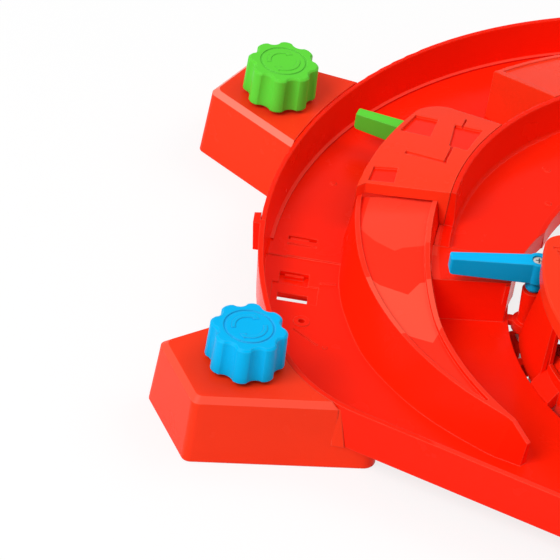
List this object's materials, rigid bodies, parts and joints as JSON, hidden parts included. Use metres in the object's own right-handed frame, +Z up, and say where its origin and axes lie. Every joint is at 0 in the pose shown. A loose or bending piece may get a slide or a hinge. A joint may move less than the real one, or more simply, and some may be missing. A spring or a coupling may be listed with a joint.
{
  "type": "toy race track",
  "caption": "Raised ring race track for small toy cars with an outer and an inner lane, a lane-parting wedge, side pods with turning knobs and swinging lane levers, and a hub.",
  "frame": {"origin": "centre of the ring on the ground it stands on", "axes": "+X to the right, pods at -X; +Y to the back tray; +Z up"},
  "size_m": [0.5102, 0.4159, 0.058],
  "materials": {
    "red_shell": "gloss moulded",
    "green_plastic": "satin moulded",
    "blue_plastic": "satin moulded",
    "white_plastic": "moulded acetal",
    "screw_steel": "zinc plated"
  },
  "bodies": {
    "base": {"back_tray": "red_shell", "front_tray": "red_shell", "lever_cover": "red_shell", "island_block": "red_shell", "green_pod_housing": "red_shell", "blue_pod_housing": "red_shell", "green_pod_base": "red_shell", "blue_pod_base": "red_shell", "pod_base_screws": "screw_steel", "green_rack_guide": "red_shell", "blue_rack_guide": "red_shell", "guide_screws": "screw_steel", "hub_cap": "red_shell", "hub_drum": "red_shell", "hub_screws": "screw_steel", "left_seam_clip": "red_shell", "right_seam_clip": "red_shell", "ring_feet": "red_shell"},
    "green_knob_body": {"green_knob": "green_plastic", "green_knob_pinion": "white_plastic"},
    "blue_knob_body": {"blue_knob": "blue_plastic", "blue_knob_pinion": "white_plastic"},
    "green_rack_body": {"green_rack": "white_plastic"},
    "blue_rack_body": {"blue_rack": "white_plastic"},
    "green_lever_body": {"green_lever": "green_plastic", "green_lever_shaft": "white_plastic"},
    "blue_lever_body": {"blue_lever": "blue_plastic", "blue_lever_shaft": "white_plastic", "blue_lever_screw": "screw_steel"}
  },
  "joints": [
    {"name": "green_knob_turn", "type": "hinge", "parent": "base", "child": "green_knob_body", "pos_m": [-0.23696, 0.10205, 0.03], "axis": [0, 0, -1], "range_deg": [0, 100]},
    {"name": "green_rack_slide", "type": "slide", "parent": "base", "child": "green_rack_body", "axis": [-0.9721, 0.2346, 0], "range_m": [0, 0.0131]},
    {"name": "green_lever_swing", "type": "hinge", "parent": "base", "child": "green_lever_body", "pos_m": [-0.15497, 0.08998, 0.03], "axis": [0, 0, -1], "range_deg": [0, 50]},
    {"name": "blue_knob_turn", "type": "hinge", "parent": "base", "child": "blue_knob_body", "pos_m": [-0.2314, -0.10546, 0.03], "axis": [0, 0, -1], "range_deg": [0, 100]},
    {"name": "blue_rack_slide", "type": "slide", "parent": "base", "child": "blue_rack_body", "axis": [-0.8489, -0.5285, 0], "range_m": [0, 0.0131]},
    {"name": "blue_lever_swing", "type": "hinge", "parent": "base", "child": "blue_lever_body", "pos_m": [-0.10397, -0.01729, 0.03], "axis": [0, 0, -1], "range_deg": [0, 50]}
  ],
  "couplings": [
    {"joint": "green_rack_slide", "follows": "green_knob_turn", "m_per_rad": 0.0075},
    {"joint": "green_lever_swing", "follows": "green_knob_turn", "ratio": 0.5},
    {"joint": "blue_rack_slide", "follows": "blue_knob_turn", "m_per_rad": 0.0075},
    {"joint": "blue_lever_swing", "follows": "blue_knob_turn", "ratio": 0.5}
  ]
}
